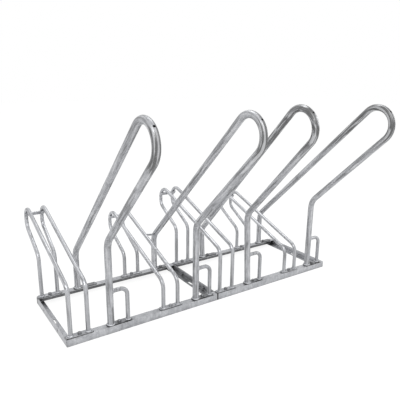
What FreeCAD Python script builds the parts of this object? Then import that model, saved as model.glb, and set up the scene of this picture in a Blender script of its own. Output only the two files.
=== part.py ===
import FreeCAD, Part
import math
import os

# A floor rack for four bicycles, of hot-dip galvanised steel. Two equal modules stand end to
# end and are bolted together. Each module is a floor frame of steel angle that carries two
# places, and each place is a pair of bent hoops for the front wheel, a tall tubular hoop for
# the frame to lean on, and a lock eye. The first place of a module holds the wheel high and
# the second holds it low, so that neighbouring handlebars miss each other.
#
# Working frame, in millimetres: X runs along the rack from its left end, Y runs from the
# front rail (where bicycles roll in) to the rear rail, Z is up from the floor. The files are
# written with the origin on the floor, under the middle of the rack's overall box.

# ---- driving dimensions, mm ----

# floor frame
module_count = 2
module_length = 700.0
frame_depth = 418.0
angle_leg = 30.0
angle_wall = 3.0
angle_root_radius = 4.0
angle_toe_radius = 1.5
rail_end_inset = 1.5

# slots in the end bars
anchor_slot_length = 38.0
anchor_slot_width = 12.0
joint_slot_length = 20.0
joint_slot_width = 9.0
joint_slot_spacing = 190.0

# foot plates
plate_length = 108.0
plate_width = 28.0
plate_thickness = 4.0
plate_corner_cut = 6.0
plate_edge_softening = 0.8

# places along a module
place_count = 2
first_holder_x = 56.0
place_pitch = 403.5
lean_hoop_offset = 129.0
lock_eye_offset = 74.5
lean_plate_overhang = 18.0

# wheel hoops and lock eyes, bent from one round bar
bar_diameter = 17.2
hoop_spacing = 70.0
high_shoulder_height = 233.5
low_drop = 80.0
wheel_slope_deg = 19.6
back_slope_deg = 29.5
hoop_overhang = 161.0
back_edge_straight = 14.0
top_bend_radius = 50.0
hoop_bend_radius = 45.0
eye_height = 175.0
eye_bend_radius = 30.0

# strap across the tops of each pair of wheel hoops, set round the inside of the top bends
strap_height = 18.0
strap_thickness = 5.0
strap_deg = 32.0

# lean hoops
tube_diameter = 28.0
tube_wall = 2.5
front_knee_height = 378.5
lean_leg_gap = 147.0
lean_deg = 46.2
lean_reach = 599.0
lean_bend_radius = 80.0
vent_hole_diameter = 9.0

# one lean hoop is welded on a little out of plumb: over to the left, and more upright
crooked_hoop = 3
crooked_left_deg = 2.5
crooked_upright_deg = 2.0

# stays
stay_diameter = 10.0
stay_reach = 90.0

# fasteners
bolt_diameter = 8.0
bolt_hole_diameter = 9.0
head_width = 13.0
head_height = 5.3
head_face_diameter = 12.3
head_chamfer_deg = 30.0
washer_diameter = 16.0
washer_thickness = 1.6
washer_clearance = 0.5
nut_height = 6.5
thread_past_nut = 3.0

# ---- sizes that follow from them ----

bar_radius = bar_diameter / 2
tube_radius = tube_diameter / 2
plate_top = angle_leg + plate_thickness
front_feet_y = angle_wall + angle_root_radius + washer_diameter / 2 + washer_clearance
rear_feet_y = frame_depth - front_feet_y
rack_length = module_count * module_length
up = FreeCAD.Vector(0, 0, 1)
along = FreeCAD.Vector(1, 0, 0)
rearward = FreeCAD.Vector(0, 1, 0)


def place_x(module, place):
    """The middle of one wheel holder."""
    return module * module_length + first_holder_x + place * place_pitch


def unit(angle_deg):
    """A direction in the YZ plane, measured from +Y up towards +Z."""
    angle = math.radians(angle_deg)
    return FreeCAD.Vector(0, math.cos(angle), math.sin(angle))


# ---- plain shapes ----

def hexagon(width, height, base, axis):
    """A hexagonal head or nut standing on base along axis, its far corners taken off by a cone."""
    side = FreeCAD.Vector(0, 1, 0)
    across = axis.cross(side)
    corner_radius = width / math.sqrt(3)
    corners = []
    for step in range(7):
        angle = math.radians(60 * step)
        spoke = side * math.cos(angle) + across * math.sin(angle)
        corners.append(base + spoke * corner_radius)
    prism = Part.Face(Part.makePolygon(corners)).extrude(axis * height)
    face_radius = head_face_diameter / 2
    cone_radius = face_radius + height / math.tan(math.radians(head_chamfer_deg))
    return prism.common(Part.makeCone(cone_radius, face_radius, height, base, axis))


def disc(diameter, height, base, axis):
    return Part.makeCylinder(diameter / 2, height, base, axis)


def slot_cutter(length, width, depth, centre, axis):
    """A solid as deep as depth either side of centre, with round ends apart along Y."""
    reach = FreeCAD.Vector(0, (length - width) / 2, 0)
    start = centre - axis * depth
    ends = [disc(width, 2 * depth, start + reach * sign, axis) for sign in (-1, 1)]
    side = axis.cross(FreeCAD.Vector(0, 1, 0)) * (width / 2)
    corners = [start - reach - side, start + reach - side, start + reach + side, start - reach + side]
    middle = Part.Face(Part.makePolygon(corners + corners[:1])).extrude(axis * (2 * depth))
    return middle.fuse(ends).removeSplitter()


def rounded_corner(before, corner, after, radius):
    """The start, middle and end of the tangent arc that rounds a corner."""
    inward = (before - corner).normalize()
    outward = (after - corner).normalize()
    half_turn = (math.pi - inward.getAngle(outward)) / 2
    setback = radius * math.tan(half_turn)
    bisector = (inward + outward).normalize()
    middle = corner + bisector * (radius / math.cos(half_turn) - radius)
    return corner + inward * setback, middle, corner + outward * setback


def rounded_path(points, radii):
    """Straight runs through the points, with a tangent arc of its own radius at each corner."""
    edges = []
    start = points[0]
    for before, corner, after, radius in zip(points, points[1:], points[2:], radii):
        first, middle, last = rounded_corner(before, corner, after, radius)
        if (first - start).Length > 1e-6:
            edges.append(Part.LineSegment(start, first).toShape())
        edges.append(Part.Arc(first, middle, last).toShape())
        start = last
    edges.append(Part.LineSegment(start, points[-1]).toShape())
    return Part.Wire(edges)


def swept_bar(path, diameter):
    """A round bar along a path."""
    first_edge = path.Edges[0]
    start = first_edge.valueAt(first_edge.FirstParameter)
    heading = first_edge.tangentAt(first_edge.FirstParameter)
    section = Part.Wire(Part.makeCircle(diameter / 2, start, heading))
    return path.makePipeShell([section], True, False)


# ---- floor frame ----

def angle_section(corner, leg_one, leg_two):
    """The face of a steel angle: two legs from one outer corner, root filled, toes rounded."""
    def at(one, two):
        return corner + leg_one * one + leg_two * two

    leg, wall, root, toe = angle_leg, angle_wall, angle_root_radius, angle_toe_radius
    bulge = math.sqrt(0.5)
    toe_centre_low = wall - toe
    root_centre = wall + root
    root_reach = root_centre - root * bulge
    toe_reach = leg - toe + toe * bulge
    toe_side = toe_centre_low + toe * bulge
    edges = [
        Part.LineSegment(at(0, 0), at(leg, 0)),
        Part.LineSegment(at(leg, 0), at(leg, toe_centre_low)),
        Part.Arc(at(leg, toe_centre_low), at(toe_reach, toe_side), at(leg - toe, wall)),
        Part.LineSegment(at(leg - toe, wall), at(root_centre, wall)),
        Part.Arc(at(root_centre, wall), at(root_reach, root_reach), at(wall, root_centre)),
        Part.LineSegment(at(wall, root_centre), at(wall, leg - toe)),
        Part.Arc(at(wall, leg - toe), at(toe_side, toe_reach), at(toe_centre_low, leg)),
        Part.LineSegment(at(toe_centre_low, leg), at(0, leg)),
        Part.LineSegment(at(0, leg), at(0, 0)),
    ]
    return Part.Face(Part.Wire([edge.toShape() for edge in edges]))


def plate_centres(module):
    """Where the foot plates of a module have their bolts along X."""
    centres = []
    for place in range(place_count):
        holder = place_x(module, place)
        centres.append(holder)
        centres.append(holder + lean_hoop_offset - lean_plate_overhang + plate_length / 2)
    return centres


def long_rail(module, rear):
    """A front or rear rail: one leg stands on the floor, the other lies on top, inwards."""
    start = module * module_length + rail_end_inset
    outer_y = frame_depth if rear else 0.0
    inward = FreeCAD.Vector(0, -1 if rear else 1, 0)
    corner = FreeCAD.Vector(start, outer_y, angle_leg)
    rail = angle_section(corner, inward, up * -1).extrude(along * (module_length - 2 * rail_end_inset))
    feet_y = rear_feet_y if rear else front_feet_y
    holes = [disc(bolt_hole_diameter, 2 * angle_leg, FreeCAD.Vector(x, feet_y, 0), up)
             for x in plate_centres(module)]
    return rail.cut(holes)


def end_bar(module, right_end, rails):
    """A cross bar: one leg lies on the floor, the other stands at the module's end."""
    outer_x = (module + 1) * module_length if right_end else module * module_length
    inward = FreeCAD.Vector(-1 if right_end else 1, 0, 0)
    corner = FreeCAD.Vector(outer_x, angle_wall, 0)
    bar = angle_section(corner, inward, up).extrude(FreeCAD.Vector(0, frame_depth - 2 * angle_wall, 0))
    anchor = corner + FreeCAD.Vector(0, frame_depth / 2 - angle_wall, 0) + inward * (angle_leg / 2)
    cutters = [slot_cutter(anchor_slot_length, anchor_slot_width, angle_leg / 3, anchor, up)]
    for y in joint_slot_places():
        centre = FreeCAD.Vector(outer_x, y, angle_leg / 2)
        cutters.append(slot_cutter(joint_slot_length, joint_slot_width, angle_leg / 3, centre, along))
    top_legs = []
    for rail_y in (0.0, frame_depth - angle_leg):
        room = FreeCAD.Vector(outer_x - angle_leg, rail_y, angle_leg - angle_wall)
        top_legs.append(Part.makeBox(2 * angle_leg, angle_leg, angle_leg, room))
    return bar.cut(cutters + top_legs + rails)


def joint_slot_places():
    return [frame_depth / 2 + sign * joint_slot_spacing / 2 for sign in (-1, 1)]


# ---- foot plates ----

def foot_plate(start_x, feet_y):
    """A flat plate with its corners cut off and a bolt hole in the middle."""
    cut = plate_corner_cut
    near = feet_y - plate_width / 2
    far = feet_y + plate_width / 2
    end_x = start_x + plate_length
    outline = [
        (start_x + cut, near), (end_x - cut, near), (end_x, near + cut), (end_x, far - cut),
        (end_x - cut, far), (start_x + cut, far), (start_x, far - cut), (start_x, near + cut),
    ]
    corners = [FreeCAD.Vector(x, y, angle_leg) for x, y in outline]
    plate = Part.Face(Part.makePolygon(corners + corners[:1])).extrude(up * plate_thickness)
    top_edges = [edge for edge in plate.Edges if edge.BoundBox.ZMin > plate_top - 1e-3]
    plate = plate.makeChamfer(plate_edge_softening, top_edges)
    hole_base = FreeCAD.Vector(start_x + plate_length / 2, feet_y, 0)
    return plate.cut(disc(bolt_hole_diameter, 2 * plate_top, hole_base, up))


# ---- wheel holders ----

def bend_setback(radius, turn_deg):
    """How far from its corner a bend starts."""
    return radius * math.tan(math.radians(turn_deg / 2))


def on_wheel_slope(y, place):
    """The height of the long slope's centre line, or of the front corner it starts from."""
    shoulder = high_shoulder_height - place * low_drop
    return shoulder + (y - front_feet_y) * math.tan(math.radians(wheel_slope_deg))


def back_edge_top(place):
    """Where the top bend ends and the upright back edge starts."""
    back_y = rear_feet_y + hoop_overhang
    return on_wheel_slope(back_y, place) - bend_setback(top_bend_radius, 90 + wheel_slope_deg)


def wheel_hoop(x, place):
    """One bent bar: front leg, long slope up, top bend, back slope down, rear leg."""
    back_y = rear_feet_y + hoop_overhang
    back_edge_bottom = back_edge_top(place) - back_edge_straight
    back_corner = back_edge_bottom - bend_setback(hoop_bend_radius, 90 - back_slope_deg)
    rear_knee = back_corner - hoop_overhang * math.tan(math.radians(back_slope_deg))
    points = [
        FreeCAD.Vector(x, front_feet_y, plate_top),
        FreeCAD.Vector(x, front_feet_y, on_wheel_slope(front_feet_y, place)),
        FreeCAD.Vector(x, back_y, on_wheel_slope(back_y, place)),
        FreeCAD.Vector(x, back_y, back_corner),
        FreeCAD.Vector(x, rear_feet_y, rear_knee),
        FreeCAD.Vector(x, rear_feet_y, plate_top),
    ]
    radii = [hoop_bend_radius, top_bend_radius, hoop_bend_radius, hoop_bend_radius]
    return swept_bar(rounded_path(points, radii), bar_diameter)


def hoop_strap(x, place):
    """A flat bar across a holder, its long edges against the inside of both top bends."""
    length = hoop_spacing + bar_diameter
    outward = unit(strap_deg)
    over = unit(strap_deg + 90) * (strap_height / 2)
    inside_radius = top_bend_radius - bar_radius
    outer_face = math.sqrt(inside_radius ** 2 - (strap_height / 2) ** 2)
    bend_centre_y = rear_feet_y + hoop_overhang - top_bend_radius
    bend_centre = FreeCAD.Vector(x - length / 2, bend_centre_y, back_edge_top(place))
    inner = bend_centre + outward * (outer_face - strap_thickness)
    outer = bend_centre + outward * outer_face
    corners = [inner - over, outer - over, outer + over, inner + over]
    return Part.Face(Part.makePolygon(corners + corners[:1])).extrude(along * length)


# ---- lean hoops, lock eyes and stays ----

def lean_points(lean):
    """Corners of a lean hoop's centre line in the YZ plane, front knee to rear knee."""
    heading = unit(90 + lean)
    across = unit(lean)
    front_knee = FreeCAD.Vector(0, front_feet_y, front_knee_height)
    width = rear_feet_y - front_feet_y
    drop = (width * across.y - lean_leg_gap) / across.z
    rear_knee = FreeCAD.Vector(0, rear_feet_y, front_knee_height - drop)
    front_top = front_knee + heading * lean_reach
    rear_top = front_top + across * lean_leg_gap
    return [front_knee, front_top, rear_top, rear_knee]


def lean_path(x, lean):
    """A lean hoop's centre line, run on into the foot plates so that it can be cut off flush."""
    foot_z = plate_top - plate_thickness / 2
    points = [corner + along * x for corner in lean_points(lean)]
    points.insert(0, FreeCAD.Vector(x, front_feet_y, foot_z))
    points.append(FreeCAD.Vector(x, rear_feet_y, foot_z))
    top_radius = lean_leg_gap / 2
    return rounded_path(points, [lean_bend_radius, top_radius, top_radius, lean_bend_radius])


def lean_top_centre(lean):
    """The centre of the half circle at the top of a lean hoop."""
    front_top, rear_top = lean_points(lean)[1:3]
    return (front_top + rear_top) * 0.5 - unit(90 + lean) * (lean_leg_gap / 2)


def vent_hole(x, lean):
    """A cutter through the outer wall of a lean hoop, at the very top of its bend."""
    heading = unit(90 + lean)
    centre = lean_top_centre(lean) + heading * (lean_leg_gap / 2) + along * x
    return disc(vent_hole_diameter, tube_diameter, centre, heading)


def lean_of(number):
    """How far a lean hoop's upper legs slope forward from upright."""
    return lean_deg - crooked_upright_deg if number == crooked_hoop else lean_deg


def standing(shape, x, number):
    """Stand a lean hoop on its foot plates: tip the crooked one over, then cut it off flush."""
    if number == crooked_hoop:
        shape.rotate(FreeCAD.Vector(x, 0, plate_top), rearward, -crooked_left_deg)
    reach = 2 * tube_diameter
    corner = FreeCAD.Vector(x - reach, -reach, 0)
    return shape.cut(Part.makeBox(2 * reach, frame_depth + 2 * reach, plate_top, corner))


def solid_lean_hoop(x, number):
    """A lean hoop without its bore, for cutting what is welded to it."""
    return standing(swept_bar(lean_path(x, lean_of(number)), tube_diameter), x, number)


def lean_hoop(x, number):
    """A bent tube, open at its feet, with a vent hole near the top."""
    lean = lean_of(number)
    outside = swept_bar(lean_path(x, lean), tube_diameter)
    bore = swept_bar(lean_path(x, lean), tube_diameter - 2 * tube_wall)
    return standing(outside.cut([bore, vent_hole(x, lean)]), x, number)


def lock_eye(x, tube):
    """A quarter loop of bar, from the side of the lean hoop's front leg down to the plate."""
    side = FreeCAD.Vector(x, front_feet_y, eye_height)
    corner = side + along * lock_eye_offset
    foot = FreeCAD.Vector(corner.x, front_feet_y, plate_top)
    path = rounded_path([side, corner, foot], [eye_bend_radius])
    return swept_bar(path, bar_diameter).cut(tube)


def stay(holder_x, place, lean_x, hoop, tube):
    """A thin bar from a holder's long slope back to the rear knee of the lean hoop beside it."""
    start_y = rear_feet_y - stay_reach
    start_x = holder_x + hoop_spacing / 2
    start = FreeCAD.Vector(start_x, start_y, on_wheel_slope(start_y, place))
    rear_top, rear_knee = lean_points(lean_deg)[2:]
    bend_start, bend_middle, _ = rounded_corner(rear_top, rear_knee, rear_knee - up, lean_bend_radius)
    end = (bend_start + bend_middle) * 0.5 + along * lean_x
    path = Part.Wire(Part.LineSegment(start, end).toShape())
    return swept_bar(path, stay_diameter).cut([hoop, tube])


# ---- fasteners ----

def bolt(seat, axis, grip):
    """A hexagon bolt on its washer: the head outside the seat, the shank through grip and nut."""
    start = seat + axis * washer_thickness
    length = grip + nut_height + 2 * washer_thickness + thread_past_nut
    shank = disc(bolt_diameter, length, start, axis * -1)
    return shank.fuse(hexagon(head_width, head_height, start, axis)).removeSplitter()


def washer(seat, axis):
    ring = disc(washer_diameter, washer_thickness, seat, axis)
    return ring.cut(disc(bolt_hole_diameter, washer_thickness, seat, axis))


def nut(seat, axis):
    """A nut on the far side of the grip, on its own washer."""
    base = seat - axis * washer_thickness
    body = hexagon(head_width, nut_height, base, axis * -1)
    return body.cut(disc(bolt_diameter, nut_height, base, axis * -1))


def fastener_sets(seats, axis, grip):
    """Bolts, washers and nuts for a list of seats, each kind as one group of solids."""
    bolts = [bolt(seat, axis, grip) for seat in seats]
    washers = []
    nuts = []
    for seat in seats:
        far = seat - axis * grip
        washers.append(washer(seat, axis))
        washers.append(washer(far - axis * washer_thickness, axis))
        nuts.append(nut(far, axis))
    return [Part.makeCompound(group) for group in (bolts, washers, nuts)]


# ---- the whole rack ----

def floor_frame(module, side):
    pieces = {}
    front = long_rail(module, False)
    rear = long_rail(module, True)
    pieces["front_rail_" + side] = front
    pieces["rear_rail_" + side] = rear
    pieces["end_bar_" + side + "_module_left"] = end_bar(module, False, [front, rear])
    pieces["end_bar_" + side + "_module_right"] = end_bar(module, True, [front, rear])
    return pieces


def bicycle_place(module, place):
    """All the pieces of one place, numbered from the left end of the rack."""
    number = module * place_count + place + 1
    holder = place_x(module, place)
    lean_x = holder + lean_hoop_offset
    hoops = [wheel_hoop(holder + side * hoop_spacing / 2, place) for side in (-1, 1)]
    solid_tube = solid_lean_hoop(lean_x, number)
    pieces = {
        f"wheel_hoop_{number}_left": hoops[0],
        f"wheel_hoop_{number}_right": hoops[1],
        f"hoop_strap_{number}": hoop_strap(holder, place),
        f"lean_hoop_{number}": lean_hoop(lean_x, number),
        f"lock_eye_{number}": lock_eye(lean_x, solid_tube),
    }
    if place == place_count - 1:
        pieces[f"stay_{number}"] = stay(holder, place, lean_x, hoops[1], solid_tube)
    for row, feet_y in (("front", front_feet_y), ("rear", rear_feet_y)):
        holder_start = holder - plate_length / 2
        pieces[f"holder_plate_{row}_{number}"] = foot_plate(holder_start, feet_y)
        lean_start = lean_x - lean_plate_overhang
        pieces[f"lean_plate_{row}_{number}"] = foot_plate(lean_start, feet_y)
    return pieces


def fasteners():
    pieces = {}
    kinds = ("bolts", "washers", "nuts")
    seats = [FreeCAD.Vector(x, y, plate_top)
             for module in range(module_count)
             for x in plate_centres(module)
             for y in (front_feet_y, rear_feet_y)]
    groups = fastener_sets(seats, up, plate_thickness + angle_wall)
    for kind, group in zip(kinds, groups):
        pieces["plate_" + kind] = group
    seats = [FreeCAD.Vector(module * module_length - angle_wall, y, angle_leg / 2)
             for module in range(1, module_count)
             for y in joint_slot_places()]
    groups = fastener_sets(seats, along * -1, 2 * angle_wall)
    for kind, group in zip(kinds, groups):
        pieces["joint_" + kind] = group
    return pieces


def rack():
    pieces = {}
    for module in range(module_count):
        side = ("left", "right")[module]
        pieces.update(floor_frame(module, side))
        for place in range(place_count):
            pieces.update(bicycle_place(module, place))
    pieces.update(fasteners())
    return pieces


def origin_shift():
    """From the working frame to the origin under the middle of the overall box."""
    front = lean_top_centre(lean_deg).y - lean_leg_gap / 2 - tube_radius
    back = rear_feet_y + hoop_overhang + bar_radius
    return FreeCAD.Vector(-rack_length / 2, -(front + back) / 2, 0)


os.makedirs("parts", exist_ok=True)
shift = origin_shift()
for name, shape in rack().items():
    shape.translated(shift).exportStep("parts/" + name + ".step")
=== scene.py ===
import math
import random

import bpy
import bmesh
from mathutils import Matrix, Vector


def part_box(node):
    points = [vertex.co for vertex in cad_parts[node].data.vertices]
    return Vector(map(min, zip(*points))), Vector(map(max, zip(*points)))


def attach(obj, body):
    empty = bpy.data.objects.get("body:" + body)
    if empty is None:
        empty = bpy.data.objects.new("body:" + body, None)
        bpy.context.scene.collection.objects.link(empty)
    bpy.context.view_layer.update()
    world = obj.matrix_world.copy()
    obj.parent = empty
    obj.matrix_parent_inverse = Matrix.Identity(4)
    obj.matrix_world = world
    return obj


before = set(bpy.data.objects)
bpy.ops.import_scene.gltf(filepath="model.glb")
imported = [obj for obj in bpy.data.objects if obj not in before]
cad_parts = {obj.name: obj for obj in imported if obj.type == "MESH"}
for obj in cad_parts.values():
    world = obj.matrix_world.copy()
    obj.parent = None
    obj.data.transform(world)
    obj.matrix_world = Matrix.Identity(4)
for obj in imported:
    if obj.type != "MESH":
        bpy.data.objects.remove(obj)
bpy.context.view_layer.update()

rng = random.Random(20417)

# ---- sizes of the rack that the welds and stains need, in metres ----

MODULE = 0.700
DEPTH = 0.418
WALL = 0.003
FIRST_HOLDER = 0.056
PITCH = 0.4035
LEAN_OFFSET = 0.129
EYE_OFFSET = 0.0745
LEAN_PLATE_OFFSET = 0.165
LEAN_PLATE_HALF = 0.054
HALF_SPACING = 0.035
FRONT_FEET = 0.0155
REAR_FEET = 0.4025
PLATE_TOP = 0.034
BAR = 0.0086
TUBE = 0.014
STAY = 0.005
EYE_HEIGHT = 0.175
LEAN = math.radians(46.2)
LEAN_GAP = 0.147
LEAN_BEND_HEIGHT = 0.7952706
WHEEL = math.radians(19.6)
STRAP_TURN = math.radians(32.0)
STRAP_HALF_HEIGHT = 0.009
STRAP_HALF_THICKNESS = 0.0025
CROOKED_PLACE = 3
CROOKED_TURN = math.radians(2.5)

# from a corner of the frame to the middle of the part
SHIFT = Vector((-0.700, -0.0858438, 0.0))
LEAN_BEND_DEPTH = -0.3129125 + SHIFT.y


def at(x, y, z):
    return Vector((x, y, z)) + SHIFT


# ---- nodes ----

class Nodes:
    """Adds nodes to one node tree and links them."""

    def __init__(self, owner):
        self.tree = owner.node_tree
        self.tree.nodes.clear()

    def add(self, kind):
        return self.tree.nodes.new(kind)

    def put(self, socket, value):
        """Link an output to the socket, or set a plain number or colour on it."""
        if isinstance(value, bpy.types.NodeSocket):
            self.tree.links.new(value, socket)
        else:
            socket.default_value = value

    def math(self, operation, a, b=0.0, clamp=False):
        node = self.add("ShaderNodeMath")
        node.operation = operation
        node.use_clamp = clamp
        self.put(node.inputs[0], a)
        self.put(node.inputs[1], b)
        return node.outputs[0]

    def times(self, a, b, clamp=False):
        return self.math("MULTIPLY", a, b, clamp)

    def plus(self, a, b, clamp=False):
        return self.math("ADD", a, b, clamp)

    def minus(self, a, b):
        return self.math("SUBTRACT", a, b)

    def larger(self, a, b):
        return self.math("MAXIMUM", a, b)

    def size_of(self, value):
        return self.math("ABSOLUTE", value)

    def remap(self, value, low, high, to_low=0.0, to_high=1.0):
        """From to_low to to_high while value goes from low to high, and level beyond."""
        node = self.add("ShaderNodeMapRange")
        node.clamp = True
        self.put(node.inputs["Value"], value)
        node.inputs["From Min"].default_value = low
        node.inputs["From Max"].default_value = high
        node.inputs["To Min"].default_value = to_low
        node.inputs["To Max"].default_value = to_high
        return node.outputs["Result"]

    def above(self, value, limit, softness):
        return self.remap(value, limit - softness, limit + softness)

    def mix(self, factor, a, b):
        """Colour a where factor is 0, b where it is 1."""
        node = self.add("ShaderNodeMix")
        node.data_type = "RGBA"
        self.put(node.inputs[0], factor)
        self.put(node.inputs[6], a)
        self.put(node.inputs[7], b)
        return node.outputs[2]

    def blend(self, factor, a, b):
        """Number a where factor is 0, b where it is 1."""
        node = self.add("ShaderNodeMix")
        node.data_type = "FLOAT"
        self.put(node.inputs[0], factor)
        self.put(node.inputs[2], a)
        self.put(node.inputs[3], b)
        return node.outputs[0]

    def noise(self, vector, scale, detail, rough=0.55, distortion=0.0):
        node = self.add("ShaderNodeTexNoise")
        self.put(node.inputs["Vector"], vector)
        node.inputs["Scale"].default_value = scale
        node.inputs["Detail"].default_value = detail
        node.inputs["Roughness"].default_value = rough
        node.inputs["Distortion"].default_value = distortion
        return node

    def moved(self, vector, offset):
        node = self.add("ShaderNodeMapping")
        self.put(node.inputs["Vector"], vector)
        node.inputs["Location"].default_value = offset
        return node.outputs[0]

    def vector_math(self, operation, a, b):
        node = self.add("ShaderNodeVectorMath")
        node.operation = operation
        self.put(node.inputs[0], a)
        self.put(node.inputs[1], b)
        return node

    def vector_plus(self, a, b):
        return self.vector_math("ADD", a, b).outputs[0]

    def scaled(self, vector, amount):
        node = self.add("ShaderNodeVectorMath")
        node.operation = "SCALE"
        self.put(node.inputs[0], vector)
        node.inputs["Scale"].default_value = amount
        return node.outputs[0]

    def vector(self, x, y, z):
        node = self.add("ShaderNodeCombineXYZ")
        self.put(node.inputs[0], x)
        self.put(node.inputs[1], y)
        self.put(node.inputs[2], z)
        return node.outputs[0]


def grey(value, tint=0.0):
    """A linear grey, a little cooler for a positive tint."""
    return (value * (1 - tint * 0.8), value * (1 - tint * 0.3), value * (1 + tint), 1)


# ---- coordinates that follow the bars, so that the zinc runs and the painted reflection streaks lie along them ----

# the knees of the lean hoops lie near the line: height = KNEE_RISE - KNEE_FALL * depth
KNEE_RISE = 0.345
KNEE_FALL = 0.4326
KNEE_SOFTNESS = 0.012
BEND_SOFTNESS = 0.001
WHEEL_HOOP_KNEE = 0.215


def stretched(n, x, out, run, across, along):
    """Coordinates in which a texture is fine across a bar and long along it."""
    return n.vector(n.times(x, across), n.times(out, across), n.times(run, along))


def along_lean_hoop(n, x, y, z):
    """Across a lean hoop, through its thickness, and along it."""
    dy = n.minus(y, LEAN_BEND_DEPTH)
    dz = n.minus(z, LEAN_BEND_HEIGHT)
    sine, cosine = math.sin(LEAN), math.cos(LEAN)
    on = n.minus(n.times(dz, cosine), n.times(dy, sine))
    side = n.plus(n.times(dy, cosine), n.times(dz, sine))
    half = LEAN_GAP / 2

    # round the top bend, or along one of the two straight legs
    in_bend = n.above(on, 0.0, BEND_SOFTNESS)
    radius = n.math("SQRT", n.plus(n.times(on, on), n.times(side, side)))
    arc = n.times(n.math("ARCTAN2", on, side), half)
    front = n.minus(math.pi * half, on)
    straight = n.blend(n.above(side, 0.0, BEND_SOFTNESS), front, on)
    out = n.blend(in_bend, n.size_of(side), radius)
    run = n.blend(in_bend, straight, arc)

    # up the upright legs below the knees
    over_knee = n.minus(z, n.plus(n.times(y, -KNEE_FALL), KNEE_RISE))
    upper = n.above(over_knee, 0.0, KNEE_SOFTNESS)
    out = n.blend(upper, y, out)
    run = n.blend(upper, z, run)
    return stretched(n, x, out, run, 135.0, 8.0)


def along_wheel_hoop(n, x, y, z):
    """Along a wheel hoop's legs and its long slope."""
    sine, cosine = math.sin(WHEEL), math.cos(WHEEL)
    run = n.plus(n.times(y, cosine), n.times(z, sine))
    out = n.minus(n.times(z, cosine), n.times(y, sine))
    upper = n.above(z, WHEEL_HOOP_KNEE, KNEE_SOFTNESS)
    out = n.blend(upper, y, out)
    run = n.blend(upper, z, run)
    return stretched(n, x, out, run, 150.0, 9.0)


def upright(n, x, y, z):
    return stretched(n, x, y, z, 120.0, 14.0)


# ---- zinc ----

# how many features of each texture fit in a metre
WOBBLE_SCALE = 60.0
PATCH_SCALE = 21.0
CLOUD_SCALE = 75.0
FINE_SCALE = 520.0
DRIFT_SCALE = 11.0
SPECK_SCALE = 190.0

# how far the crystals and the runs wander
WOBBLE = 0.006
DRIFT = 1.1

# the part of each noise that is used, from nothing to full
PATCH_RANGE = (0.36, 0.64)
CLOUD_RANGE = (0.34, 0.66)
FINE_RANGE = (0.3, 0.7)
RUN_RANGE = (0.52, 0.64)
TOP_SHADE_STREAK_RANGE = (0.43, 0.54)
HIGHLIGHT_STREAK_RANGE = (0.46, 0.34)
FLECK_RANGE = (0.58, 0.68)
SPECK_RANGE = (0.40, 0.31)
HOLLOW_RANGE = (0.72, 0.22)
RIM_RANGE = (0.985, 0.86)

# the share of each texture in the tone
CRYSTAL_SHARE = 0.20
PATCH_SHARE = 0.38
CLOUD_SHARE = 0.30
FINE_SHARE = 0.12

# tones of runs, specks and pale flecks, of painted shade, painted shadow and painted highlights,
# and of the darkening towards the floor, as shares of a coat's dark tone, or of its light one
RUN_AND_REFLECTION_TONE = 0.62
TOP_SHADE_TONE = 0.75
TOP_SHADE_STREAK_TONE = 0.35
SPECK_TONE = 0.5
HOLLOW_SHADE_TONE = 0.14
SHADOW_LINE_TONE = 0.05
NEAR_FLOOR_TONE = 0.7
UNDER_SHADE_TONE = 0.12
HIGHLIGHT_STREAK_TONE = 1.30
PALE_TONE = 1.35
HIGHLIGHT_LIMIT = 0.8
BLOOM_LIMIT = 0.78
SEAM_SHADE_BLACK = 0.010
GAP_SHADOW_BLACK = 0.012

# where the painted shade and painted shadow lie, and the darkening towards the floor, from nothing
# to full, in metres
TOP_HEIGHT = (0.66, 0.76)
TOP_RIGHT_MODULE = (0.0, 0.15, 0.1, 1.0)
BEND_HEIGHT = (0.862, 0.840)
BEND_DEPTH = (-0.425, -0.455)
NEAR_FLOOR_HEIGHT = (0.20, 0.13)
SEAM_WIDTH = (0.0046, 0.0028)
FRONT_FACE = (-0.0800, -0.0820)
REAR_FACE = (0.3280, 0.3300)
GAP_HEIGHT = (0.0284, 0.0290)
GAP_FACE = (-0.0835, -0.0845)
UNDER_HEIGHT = (0.0276, 0.0268)
UNDER_DEPTH = (0.296, 0.308)
UNDER_WALL = (0.3318, 0.3308)
SHADOW_LINE_HEIGHT = 0.0011
GAP_END = 0.003

EDGE_RADIUS = 0.0011
GAP_PLATES = [
    module * MODULE + FIRST_HOLDER + PITCH + LEAN_PLATE_OFFSET + SHIFT.x
    for module in (0, 1)
]


def paint_seam_shade(n, colour, x, depth, amount):
    """Painted shade: near black on the surfaces beside the gap where the two modules meet."""
    joint = n.remap(n.size_of(x), *SEAM_WIDTH)
    outside = n.larger(n.remap(depth, *FRONT_FACE), n.remap(depth, *REAR_FACE))
    return n.mix(n.times(n.times(joint, outside), amount), colour, grey(SEAM_SHADE_BLACK))


def paint_gap_shadow(n, colour, x, depth, height, amount):
    """Painted shadow: a dark line at the gap under the lean plates of places 2 and 4."""
    edge = n.times(n.remap(height, *GAP_HEIGHT), n.remap(depth, *GAP_FACE))
    beside = []
    for middle in GAP_PLATES:
        away = n.size_of(n.minus(x, middle))
        beside.append(n.remap(away, LEAN_PLATE_HALF + GAP_END, LEAN_PLATE_HALF))
    edge = n.times(edge, n.larger(*beside))
    return n.mix(n.times(edge, amount), colour, grey(GAP_SHADOW_BLACK))


def paint_under_shade(n, colour, depth, height, cloud, dark, amount):
    """Painted shade, made patchy by the clouds, in the hollow under the rear rail's top leg."""
    beneath_shade = n.times(n.remap(height, *UNDER_HEIGHT), n.remap(depth, *UNDER_DEPTH))
    beneath_shade = n.times(beneath_shade, n.remap(depth, *UNDER_WALL))
    beneath_shade = n.times(beneath_shade, n.remap(cloud, 0.0, 0.7, 0.6, 1.0))
    return n.mix(n.times(beneath_shade, amount), colour, grey(dark * UNDER_SHADE_TONE))


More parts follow.
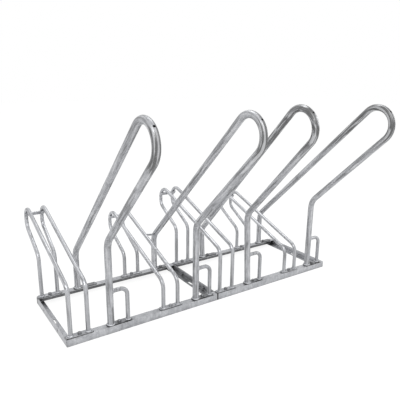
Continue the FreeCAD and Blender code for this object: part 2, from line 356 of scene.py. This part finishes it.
def zinc(name, dark, light, seed, spangle, streak, bloom, rough=(0.30, 0.50), edge=0.0,
         grain=0.00006, follow=upright, crevice=0.6, reach=0.02, mottle=1.0, tops=0.0,
         line=0.0, line_top=0.0337, near_floor=0.0, seam=0.0, gap=0.0, under=0.0):
    """Hot-dip galvanised steel.

    dark, light: the two tones of the coat
    spangle: crystals in a metre
    streak, bloom, mottle: strength of the runs with their painted reflection streaks and painted
    highlights, of the pale flecks, and of the blotches
    edge: strength of the edges painted lighter, partly as wear and partly as a painted highlight;
    the edges are rounded as well
    grain: height of the relief in metres
    follow: the coordinates that the runs and the painted streaks follow
    crevice, reach: strength of the painted shade in hollows, and how far it spreads
    tops, line, near_floor, seam, gap, under: strength of the painted shade on the tops, of the
    painted shadow line under a plate, of the darkening towards the floor, of the painted shade in
    the seam and under the rear rail's top leg, and of the painted shadow in the gap under the lean
    plates
    """
    material = bpy.data.materials.new(name)
    material.use_nodes = True
    n = Nodes(material)
    coords = n.add("ShaderNodeTexCoord").outputs["Object"]
    place = n.moved(coords, (seed * 0.37, seed * 0.61, seed * 0.23))
    wobble = n.scaled(n.noise(place, WOBBLE_SCALE, 2.0).outputs["Color"], WOBBLE)
    warped = n.vector_plus(place, wobble)
    parts = n.add("ShaderNodeSeparateXYZ")
    n.put(parts.inputs[0], coords)
    x, depth, height = parts.outputs["X"], parts.outputs["Y"], parts.outputs["Z"]

    # crystals of zinc, each with its own tone and gloss
    cells = n.add("ShaderNodeTexVoronoi")
    n.put(cells.inputs["Vector"], warped)
    cells.inputs["Scale"].default_value = spangle
    cell_colour = n.add("ShaderNodeSeparateColor")
    n.put(cell_colour.inputs[0], cells.outputs["Color"])
    crystal, crystal_gloss = cell_colour.outputs[0], cell_colour.outputs[1]

    # larger patches where the coat is duller or brighter, soft clouds, and fine grain
    patch = n.remap(n.noise(warped, PATCH_SCALE, 4.0, 0.6, 0.6).outputs["Fac"], *PATCH_RANGE)
    cloud = n.remap(n.noise(place, CLOUD_SCALE, 5.0, 0.62).outputs["Fac"], *CLOUD_RANGE)
    fine = n.remap(n.noise(place, FINE_SCALE, 3.0, 0.6).outputs["Fac"], *FINE_RANGE)

    # runs of zinc along the bars, wandering a little; the same streaks also carry painted
    # reflection: dark streaks of painted shade and pale painted highlights
    drift = n.scaled(n.noise(place, DRIFT_SCALE, 1.0).outputs["Color"], DRIFT)
    drawn = n.vector_plus(follow(n, x, depth, height), drift)
    streak_noise = n.noise(drawn, 1.0, 2.5, 0.5).outputs["Fac"]
    run = n.remap(streak_noise, *RUN_RANGE)
    highlight_streak = n.remap(streak_noise, *HIGHLIGHT_STREAK_RANGE)

    tone = n.times(crystal, CRYSTAL_SHARE * mottle)
    tone = n.plus(tone, n.times(patch, PATCH_SHARE * mottle))
    tone = n.plus(tone, n.times(cloud, CLOUD_SHARE * mottle))
    tone = n.plus(tone, n.times(fine, FINE_SHARE * mottle))
    tone = n.plus(tone, 0.5 * (1 - mottle), clamp=True)
    colour = n.mix(tone, grey(dark, 0.045), grey(light, 0.03))

    if tops:
        # painted shade: darker under the top bends, and all over the tops on the right module,
        # with darker painted streaks there that stand in for dark reflections;
        # the painted highlight streaks are stronger there too
        top_shade_mask = n.times(n.remap(height, *TOP_HEIGHT), n.remap(x, *TOP_RIGHT_MODULE))
        under_bend_shade = n.times(n.remap(height, *BEND_HEIGHT), n.remap(depth, *BEND_DEPTH))
        top_shade_mask = n.larger(top_shade_mask, under_bend_shade)
        colour = n.mix(n.times(top_shade_mask, 0.60), colour, grey(dark * TOP_SHADE_TONE, 0.02))
        top_shade_streak = n.times(n.remap(streak_noise, *TOP_SHADE_STREAK_RANGE), n.times(top_shade_mask, tops))
        colour = n.mix(top_shade_streak, colour, grey(dark * TOP_SHADE_STREAK_TONE, -0.01))
        highlight_streak = n.times(highlight_streak, n.plus(n.times(top_shade_mask, 2.0), 1.0), clamp=True)
    # the runs darkened, partly as real runs of zinc and partly as painted shade, with pale painted
    # highlight streaks between them
    colour = n.mix(n.times(run, streak), colour, grey(dark * RUN_AND_REFLECTION_TONE, 0.01))
    highlight_tone = grey(min(HIGHLIGHT_LIMIT, light * HIGHLIGHT_STREAK_TONE), 0.01)
    colour = n.mix(n.times(highlight_streak, streak * 0.55), colour, highlight_tone)

    # pale bloom in small flecks, and dull specks
    speck_noise = n.noise(place, SPECK_SCALE, 4.0, 0.7, 0.4).outputs["Fac"]
    fleck = n.times(n.remap(speck_noise, *FLECK_RANGE), n.remap(patch, 0.2, 0.9))
    pale_bloom = grey(min(BLOOM_LIMIT, light * PALE_TONE))
    colour = n.mix(n.times(fleck, bloom), colour, pale_bloom)
    speck = n.remap(speck_noise, *SPECK_RANGE)
    colour = n.mix(n.times(speck, bloom * 0.9), colour, grey(dark * SPECK_TONE))

    # painted shade in hollows where two pieces meet, from ambient occlusion and patchy with the
    # clouds
    hollow = n.add("ShaderNodeAmbientOcclusion")
    hollow.samples = 8
    hollow.inputs["Distance"].default_value = reach
    crevice_shade = n.remap(hollow.outputs["AO"], *HOLLOW_RANGE)
    crevice_shade = n.times(crevice_shade, n.remap(cloud, 0.0, 1.0, 1.0, 0.7))
    colour = n.mix(n.times(crevice_shade, crevice), colour, grey(dark * HOLLOW_SHADE_TONE))

    if line:
        # painted shadow: a dark line along the lower edge of a plate, where it meets the rail
        low = n.remap(height, line_top, line_top - SHADOW_LINE_HEIGHT)
        low = n.times(low, n.remap(patch, 0.0, 0.6, 0.45, 1.0))
        colour = n.mix(n.times(low, line), colour, grey(dark * SHADOW_LINE_TONE))
    if near_floor:
        # the uprights are darker towards the floor
        by_floor = n.times(n.remap(height, *NEAR_FLOOR_HEIGHT), near_floor)
        colour = n.mix(by_floor, colour, grey(dark * NEAR_FLOOR_TONE, 0.02))
    # painted shade in the gap between the two modules
    if seam:
        colour = paint_seam_shade(n, colour, x, depth, seam)
    # painted shadow under the lean plates
    if gap:
        colour = paint_gap_shadow(n, colour, x, depth, height, gap)
    # painted shade under the rear rail's top leg
    if under:
        colour = paint_under_shade(n, colour, depth, height, cloud, dark, under)

    roughness = n.times(crystal_gloss, 0.30)
    roughness = n.plus(roughness, n.times(cloud, 0.45))
    roughness = n.plus(roughness, n.times(fleck, 0.25), clamp=True)
    roughness = n.remap(roughness, 0.0, 1.0, *rough)

    relief = n.times(fine, 0.30)
    relief = n.plus(relief, n.times(cloud, 0.9))
    relief = n.plus(relief, n.times(cells.outputs["Distance"], 0.5))
    relief = n.plus(relief, n.times(run, 0.6))
    bump = n.add("ShaderNodeBump")
    bump.inputs["Strength"].default_value = 1.0
    bump.inputs["Distance"].default_value = grain * 3.0
    n.put(bump.inputs["Height"], relief)

    if edge:
        # edges rounded a little, and painted lighter: partly as wear, partly as a painted highlight
        # along them
        edge_bevel = n.add("ShaderNodeBevel")
        edge_bevel.samples = 6
        edge_bevel.inputs["Radius"].default_value = EDGE_RADIUS
        geometry = n.add("ShaderNodeNewGeometry")
        facing = n.vector_math("DOT_PRODUCT", edge_bevel.outputs[0], geometry.outputs["Normal"])
        rim = n.remap(facing.outputs["Value"], *RIM_RANGE)
        rim = n.times(rim, n.remap(cloud, 0.0, 0.8, 0.35, 1.0))
        wear_and_highlight_tone = grey(min(HIGHLIGHT_LIMIT, light * PALE_TONE))
        colour = n.mix(n.times(rim, edge), colour, wear_and_highlight_tone)
        n.put(bump.inputs["Normal"], edge_bevel.outputs[0])

    shader = n.add("ShaderNodeBsdfPrincipled")
    shader.inputs["Metallic"].default_value = 0.85
    shader.inputs["IOR"].default_value = 1.6
    n.put(shader.inputs["Base Color"], colour)
    n.put(shader.inputs["Roughness"], roughness)
    n.put(shader.inputs["Normal"], bump.outputs[0])
    output = n.add("ShaderNodeOutputMaterial")
    n.put(output.inputs[0], shader.outputs[0])
    return material


zinc_tube = zinc("zinc_tube", 0.27, 0.59, 1.0, spangle=85.0, streak=0.75, bloom=0.30,
                 rough=(0.32, 0.50), grain=0.00003, follow=along_lean_hoop, mottle=0.8, tops=0.85)
zinc_bar = zinc("zinc_bar", 0.31, 0.68, 2.3, spangle=120.0, streak=0.65, bloom=0.15,
                rough=(0.30, 0.44), grain=0.000008, follow=along_wheel_hoop, mottle=0.35,
                near_floor=0.30)
zinc_eye = zinc("zinc_eye", 0.24, 0.52, 2.9, spangle=120.0, streak=0.5, bloom=0.20,
                rough=(0.32, 0.46), grain=0.000008, mottle=0.5)
zinc_flat = zinc("zinc_flat", 0.28, 0.56, 3.1, spangle=80.0, streak=0.2, bloom=0.5,
                 edge=0.5, crevice=0.8, reach=0.012, line=0.95)
# the lean plates' copy, with a stronger and higher painted shadow line along their lower edge
zinc_lean_plate = zinc("zinc_lean_plate", 0.28, 0.56, 3.4, spangle=80.0, streak=0.2, bloom=0.5,
                       crevice=0.9, reach=0.016, line=1.0, line_top=0.0346)
zinc_angle = zinc("zinc_angle", 0.32, 0.60, 4.7, spangle=75.0, streak=0.2, bloom=0.6,
                  rough=(0.32, 0.52), edge=0.45, crevice=0.8, reach=0.03,
                  seam=0.95, gap=0.9, under=0.7)
# a darker copy of zinc_angle, as painted shade, for the two end bars in the joint between the
# modules
zinc_angle_shaded = zinc("zinc_angle_shaded", 0.15, 0.44, 8.2, spangle=75.0, streak=0.2, bloom=0.5,
                  rough=(0.36, 0.54), edge=0.45, crevice=0.9, reach=0.03, seam=0.95, under=0.9)
zinc_bolt = zinc("zinc_bolt", 0.16, 0.38, 5.9, spangle=300.0, streak=0.0, bloom=0.3,
                 rough=(0.28, 0.44), edge=0.7, crevice=0.85)
zinc_weld = zinc("zinc_weld", 0.30, 0.72, 6.4, spangle=260.0, streak=0.0, bloom=0.6,
                 rough=(0.28, 0.48), grain=0.00012, crevice=0.7, reach=0.006)

# the first entry that a node's name starts with is used
FINISH = {
    "end_bar_left_module_right": zinc_angle_shaded,
    "end_bar_right_module_left": zinc_angle_shaded,
    "lean_hoop": zinc_tube,
    "wheel_hoop": zinc_bar,
    "lock_eye": zinc_eye,
    "stay": zinc_bar,
    "hoop_strap": zinc_flat,
    "holder_plate": zinc_flat,
    "lean_plate": zinc_lean_plate,
    "front_rail": zinc_angle,
    "rear_rail": zinc_angle,
    "end_bar": zinc_angle,
    "plate_bolts": zinc_bolt,
    "plate_washers": zinc_bolt,
    "plate_nuts": zinc_bolt,
    "joint_bolts": zinc_bolt,
    "joint_washers": zinc_bolt,
    "joint_nuts": zinc_bolt,
}
for name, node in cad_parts.items():
    finish = next(material for start, material in FINISH.items() if name.startswith(start))
    for slot in node.material_slots:
        slot.material = finish


# ---- weld beads ----

# height up the first surface and width along the second, in metres
HOLDER_FOOT_WELD = (0.0042, 0.0036)
LEAN_FOOT_WELD = (0.0046, 0.0040)
EYE_FOOT_WELD = (0.0040, 0.0034)
EYE_SIDE_WELD = (0.0034, 0.0030)
STRAP_WELD = (0.0034, 0.0026)
STAY_WELD = (0.0030, 0.0024)
RAIL_WELD = (0.0030, 0.0030)
CORNER_WELD = (0.0026, 0.0026)

# ripples of a bead, in turns of the sine from point to point
FOOT_RIPPLE = 1.35
SADDLE_RIPPLE = 1.5
END_RIPPLE = 1.6
STRAIGHT_RIPPLE = 1.1
RIPPLE_DEPTH = 0.16
RIPPLE_CHANCE = 0.07

BEAD_STEPS = 6
BEAD_SINK = 0.0008
BEAD_BACK = 0.9
RING_INSET = 0.0002
STRAP_LIFT = 0.0004
STRAP_WELD_HALF_GAP = 0.0030
STRAP_WELD_END = 0.0006
STAY_END_SIDE = 0.0026
STAY_END_INSET = 0.004
RAIL_WELD_START = 0.0050
RAIL_WELD_RUN = 0.0235
CORNER_WELD_START = 0.0045
CORNER_WELD_RUN = 0.0215


def bead(mesh, points, rise, spread, height, width, closed, ripple):
    """A rippled fillet along points: rise and spread are the two surfaces' directions there."""
    rows = []
    phase = rng.uniform(0, 6.28)
    count = len(points)
    for i, point in enumerate(points):
        a, b = rise[i], spread[i]
        chance = rng.uniform(-RIPPLE_CHANCE, RIPPLE_CHANCE)
        swell = 1 + RIPPLE_DEPTH * math.sin(ripple * i + phase) + chance
        if not closed:
            # thinner towards the two ends
            end = min(i, count - 1 - i) / max(1, count - 1)
            swell *= 0.35 + 0.65 * min(1.0, end * 8)
        row = []
        for k in range(BEAD_STEPS + 1):
            angle = math.pi / 2 * k / BEAD_STEPS
            along_spread = width * swell * math.cos(angle)
            along_rise = height * swell * math.sin(angle)
            row.append(mesh.verts.new(point + (b * along_spread + a * along_rise)))
        # the hidden back of the bead, inside the two pieces it joins
        row.append(mesh.verts.new(point + a * (height * BEAD_BACK) - b * BEAD_SINK))
        row.append(mesh.verts.new(point - a * BEAD_SINK - b * BEAD_SINK))
        row.append(mesh.verts.new(point - a * BEAD_SINK + b * (width * BEAD_BACK)))
        rows.append(row)
    size = len(rows[0])
    last = count if closed else count - 1
    for i in range(last):
        first, second = rows[i], rows[(i + 1) % count]
        for k in range(size):
            m = (k + 1) % size
            mesh.faces.new((first[k], first[m], second[m], second[k]))
    if not closed:
        mesh.faces.new(list(reversed(rows[0])))
        mesh.faces.new(rows[-1])


def circle(count, first, second):
    """Directions all round, from first towards second."""
    angles = [2 * math.pi * i / count for i in range(count)]
    return [first * math.cos(t) + second * math.sin(t) for t in angles]


def foot_ring(mesh, centre, radius, height, width):
    """A bead round the foot of an upright bar."""
    count = max(28, int(radius * 5200))
    outward = circle(count, ACROSS, BACK)
    points = [centre + way * (radius - RING_INSET) for way in outward]
    bead(mesh, points, [UP] * count, outward, height, width, True, FOOT_RIPPLE)


def saddle_ring(mesh, centre, bar_way, bar_radius, tube_way, tube_radius, height, width):
    """A bead where a bar runs square into the side of a larger tube."""
    count = 44
    side = tube_way.cross(bar_way).normalized()
    points, rise, spread = [], [], []
    for i in range(count):
        t = 2 * math.pi * i / count
        off = bar_radius * math.sin(t)
        depth = math.sqrt(tube_radius ** 2 - off ** 2)
        points.append(centre + tube_way * (bar_radius * math.cos(t)) + side * off + bar_way * depth)
        rise.append(bar_way)
        around = (side * depth - bar_way * off) / tube_radius
        spread.append((tube_way * math.cos(t) + around * math.sin(t)).normalized())
    bead(mesh, points, rise, spread, height, width, True, SADDLE_RIPPLE)


def end_ring(mesh, centre, way, radius, height, width):
    """A bead round the end of a thin bar."""
    count = 30
    first = way.orthogonal().normalized()
    outward = circle(count, first, way.cross(first))
    points = [centre + out * (radius - RING_INSET) for out in outward]
    bead(mesh, points, [way] * count, outward, height, width, True, END_RIPPLE)


def straight_bead(mesh, start, end, rise, spread, height, width):
    count = max(10, int((end - start).length * 1600))
    points = [start.lerp(end, i / (count - 1)) for i in range(count)]
    bead(mesh, points, [rise] * count, [spread] * count, height, width, False, STRAIGHT_RIPPLE)


def finish_mesh(mesh, name):
    bmesh.ops.recalc_face_normals(mesh, faces=mesh.faces[:])
    data = bpy.data.meshes.new(name)
    mesh.to_mesh(data)
    mesh.free()
    for polygon in data.polygons:
        polygon.use_smooth = True
    piece = bpy.data.objects.new(name, data)
    bpy.context.scene.collection.objects.link(piece)
    data.materials.append(zinc_weld)
    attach(piece, "root")


UP = Vector((0, 0, 1))
ACROSS = Vector((1, 0, 0))
BACK = Vector((0, 1, 0))


def holder_welds(number, holder):
    """Beads round the feet of a pair of wheel hoops."""
    mesh = bmesh.new()
    for side in (-1, 1):
        for row in (FRONT_FEET, REAR_FEET):
            foot = at(holder + side * HALF_SPACING, row, PLATE_TOP)
            foot_ring(mesh, foot, BAR, *HOLDER_FOOT_WELD)
    finish_mesh(mesh, "foot_welds_holder_%d" % number)


def lean_welds(number, lean_x):
    """Beads round a lean hoop's feet, and at both ends of its lock eye."""
    mesh = bmesh.new()
    for row in (FRONT_FEET, REAR_FEET):
        foot_ring(mesh, at(lean_x, row, PLATE_TOP), TUBE, *LEAN_FOOT_WELD)
    foot_ring(mesh, at(lean_x + EYE_OFFSET, FRONT_FEET, PLATE_TOP), BAR, *EYE_FOOT_WELD)
    tip = math.tan(CROOKED_TURN) * (EYE_HEIGHT - PLATE_TOP) if number == CROOKED_PLACE else 0.0
    middle = at(lean_x - tip, FRONT_FEET, EYE_HEIGHT)
    saddle_ring(mesh, middle, ACROSS, BAR, UP, TUBE, *EYE_SIDE_WELD)
    finish_mesh(mesh, "lean_hoop_welds_%d" % number)


def strap_welds(number):
    """Two short beads on the strap at each hoop, one on either side of the bar."""
    low, high = [Vector(corner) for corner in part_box("hoop_strap_%d" % number)]
    outward = BACK * math.cos(STRAP_TURN) + UP * math.sin(STRAP_TURN)
    over = UP * math.cos(STRAP_TURN) - BACK * math.sin(STRAP_TURN)
    face = (low + high) / 2 + outward * (STRAP_HALF_THICKNESS + STRAP_LIFT)
    half_run = over * (STRAP_HALF_HEIGHT - STRAP_WELD_END)
    mesh = bmesh.new()
    for side in (-1, 1):
        for way in (-1, 1):
            middle = face + ACROSS * (side * HALF_SPACING + way * STRAP_WELD_HALF_GAP)
            lean_in = (ACROSS * way + outward * 0.25).normalized()
            straight_bead(mesh, middle - half_run, middle + half_run, lean_in, outward, *STRAP_WELD)
    finish_mesh(mesh, "strap_welds_%d" % number)


def stay_welds(number):
    """Beads round both ends of a stay."""
    low, high = [Vector(corner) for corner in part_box("stay_%d" % number)]
    inset = Vector((STAY_END_SIDE, STAY_END_INSET, 0))
    start = Vector((low.x, low.y, high.z - STAY_END_INSET)) + inset
    end = Vector((high.x, high.y, low.z + STAY_END_INSET)) - inset
    way = (end - start).normalized()
    mesh = bmesh.new()
    end_ring(mesh, start, way, STAY, *STAY_WELD)
    end_ring(mesh, end, -way, STAY, *STAY_WELD)
    finish_mesh(mesh, "stay_welds_%d" % number)


def frame_welds(module, side):
    """Fillets inside the four corners of a module's frame."""
    mesh = bmesh.new()
    for right_end in (0, 1):
        inward = -1 if right_end else 1
        outer = module * MODULE + right_end * MODULE
        for rear in (0, 1):
            depth_in = -1 if rear else 1
            edge_y = DEPTH if rear else 0.0
            # where the floor leg meets the rail
            near = at(outer + inward * RAIL_WELD_START, edge_y + depth_in * WALL, WALL)
            far = near + ACROSS * (inward * RAIL_WELD_RUN)
            straight_bead(mesh, near, far, UP, BACK * depth_in, *RAIL_WELD)
            # up the standing leg
            low = at(outer + inward * WALL, edge_y + depth_in * WALL, CORNER_WELD_START)
            high = low + UP * CORNER_WELD_RUN
            straight_bead(mesh, low, high, ACROSS * inward, BACK * depth_in, *CORNER_WELD)
    finish_mesh(mesh, "frame_welds_" + side)


places = [module * MODULE + FIRST_HOLDER + place * PITCH for module in (0, 1) for place in (0, 1)]
for number, holder in enumerate(places, 1):
    holder_welds(number, holder)
    lean_welds(number, holder + LEAN_OFFSET)
    strap_welds(number)
for number in (2, 4):
    stay_welds(number)
for module, side in enumerate(("left", "right")):
    frame_welds(module, side)


# ---- floor, backdrop and light ----

FLOOR_REACH = 14.0
FLOOR_PARTS = 4
FLOOR_DROP = 0.0004
FLOOR_TONE = 0.80
FLOOR_SHADE = 0.22
FLOOR_GLOW = 0.84
ROOM_LIGHT = 0.75


def seen_directly(n):
    """1 for what the camera, a reflection or a see-through piece shows, 0 for light that lands."""
    path = n.add("ShaderNodeLightPath")
    seen = n.larger(path.outputs["Is Camera Ray"], path.outputs["Is Glossy Ray"])
    return n.larger(seen, path.outputs["Is Transmission Ray"])


def floor_white():
    """Pale to the light, and white with a faint shadow to the eye."""
    material = bpy.data.materials.new("floor_white")
    material.use_nodes = True
    n = Nodes(material)
    pale = n.add("ShaderNodeBsdfDiffuse")
    pale.inputs["Color"].default_value = grey(FLOOR_TONE)
    faint = n.add("ShaderNodeBsdfDiffuse")
    faint.inputs["Color"].default_value = grey(FLOOR_SHADE)
    glow = n.add("ShaderNodeEmission")
    glow.inputs["Strength"].default_value = FLOOR_GLOW
    both = n.add("ShaderNodeAddShader")
    n.put(both.inputs[0], faint.outputs[0])
    n.put(both.inputs[1], glow.outputs[0])
    switch = n.add("ShaderNodeMixShader")
    n.put(switch.inputs[0], seen_directly(n))
    n.put(switch.inputs[1], pale.outputs[0])
    n.put(switch.inputs[2], both.outputs[0])
    output = n.add("ShaderNodeOutputMaterial")
    n.put(output.inputs[0], switch.outputs[0])
    return material


mesh = bmesh.new()
steps = [-FLOOR_REACH + 2 * FLOOR_REACH * i / FLOOR_PARTS for i in range(FLOOR_PARTS + 1)]
rows = [[mesh.verts.new((x, y, -FLOOR_DROP)) for x in steps] for y in steps]
for first, second in zip(rows, rows[1:]):
    for k in range(FLOOR_PARTS):
        mesh.faces.new((first[k], first[k + 1], second[k + 1], second[k]))
data = bpy.data.meshes.new("floor")
mesh.to_mesh(data)
mesh.free()
floor = bpy.data.objects.new("floor", data)
bpy.context.scene.collection.objects.link(floor)
data.materials.append(floor_white())

world = bpy.data.worlds.new("studio")
bpy.context.scene.world = world
world.use_nodes = True
n = Nodes(world)
back = n.add("ShaderNodeBackground")
back.inputs["Color"].default_value = (1, 1, 1, 1)
n.put(back.inputs["Strength"], n.remap(seen_directly(n), 0.0, 1.0, ROOM_LIGHT, 1.0))
output = n.add("ShaderNodeOutputWorld")
n.put(output.inputs[0], back.outputs[0])


def area_light(name, place, target, size, watts):
    data = bpy.data.lights.new(name, "AREA")
    data.shape = "RECTANGLE"
    data.size = size[0]
    data.size_y = size[1]
    data.energy = watts
    lamp = bpy.data.objects.new(name, data)
    bpy.context.scene.collection.objects.link(lamp)
    lamp.location = place
    lamp.rotation_euler = (Vector(target) - Vector(place)).to_track_quat("-Z", "Y").to_euler()


area_light("key", (-1.6, -2.2, 3.0), (0, 0, 0.3), (1.4, 1.4), 42)
area_light("top", (0.4, 0.9, 3.2), (0, 0.1, 0.3), (2.2, 0.9), 16)
area_light("side", (2.8, -1.2, 1.6), (0, 0, 0.4), (0.7, 1.6), 12)


# ---- camera, at the photo's place, turned by three angles in radians ----

AZIMUTH = 0.5921045
ELEVATION = 0.2705871
ROLL = 0.0103632
FOCAL_PIXELS = 459.36312
IMAGE_PIXELS = 400.0
SENSOR = 36.0
CAMERA_PLACE = at(-0.4358334, -1.5344250, 1.0030629)

forward = Vector((math.sin(AZIMUTH) * math.cos(ELEVATION),
                  math.cos(AZIMUTH) * math.cos(ELEVATION),
                  -math.sin(ELEVATION)))
level_right = Vector((math.cos(AZIMUTH), -math.sin(AZIMUTH), 0))
level_up = level_right.cross(forward)
right = level_right * math.cos(ROLL) + level_up * math.sin(ROLL)
up = level_up * math.cos(ROLL) - level_right * math.sin(ROLL)
camera_data = bpy.data.cameras.new("camera")
camera_data.sensor_width = SENSOR
camera_data.sensor_fit = "HORIZONTAL"
camera_data.lens = FOCAL_PIXELS * SENSOR / IMAGE_PIXELS
camera_data.clip_end = 60.0
camera = bpy.data.objects.new("camera", camera_data)
bpy.context.scene.collection.objects.link(camera)
turn = Matrix((right, up, -forward)).transposed().to_4x4()
camera.matrix_world = Matrix.Translation(CAMERA_PLACE) @ turn
bpy.context.scene.camera = camera

bpy.context.scene.view_settings.view_transform = "Standard"

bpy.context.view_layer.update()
